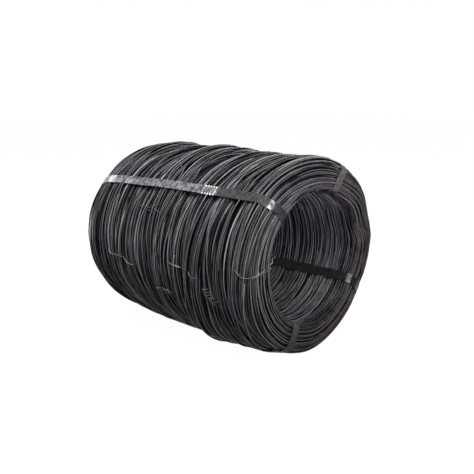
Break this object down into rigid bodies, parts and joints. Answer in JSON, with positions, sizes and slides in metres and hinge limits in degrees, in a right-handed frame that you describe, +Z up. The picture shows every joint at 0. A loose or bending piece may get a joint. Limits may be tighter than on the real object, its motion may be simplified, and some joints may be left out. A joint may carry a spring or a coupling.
{
  "type": "coil of wire rod",
  "caption": "Round coil of dark annealed wire rod with an open eye, lying on its side and held by flat steel straps with crimped seals",
  "frame": {"origin": "on the floor, under the middle of the coil", "axes": "+X along the eye of the coil, towards the end with the tighter shoulder; +Z up as it lies"},
  "size_m": [0.9656, 0.6939, 0.6946],
  "materials": {
    "wire": "dark annealed oxide, satin",
    "bright_strap": "bright rolled, scuffed",
    "weathered_strap": "dull, lightly rusted",
    "seal": "galvanised, crimped",
    "tie_wire": "drawn, dull"
  },
  "bodies": {
    "root": {"wire_coil": "wire", "strap_upper_front": "bright_strap", "strap_upper_back": "weathered_strap", "strap_lower_back": "weathered_strap", "strap_lower_front": "weathered_strap", "seal_upper_front": "seal", "seal_upper_back": "seal", "seal_lower_back": "seal", "seal_lower_front": "seal", "tie_rear_upper": "tie_wire", "tie_rear_lower": "tie_wire", "tie_middle": "tie_wire", "tie_middle_short": "tie_wire", "tie_front_end": "tie_wire", "twist_lower": "tie_wire", "twist_front": "tie_wire", "twist_upper": "tie_wire", "twist_top": "tie_wire"}
  },
  "joints": []
}
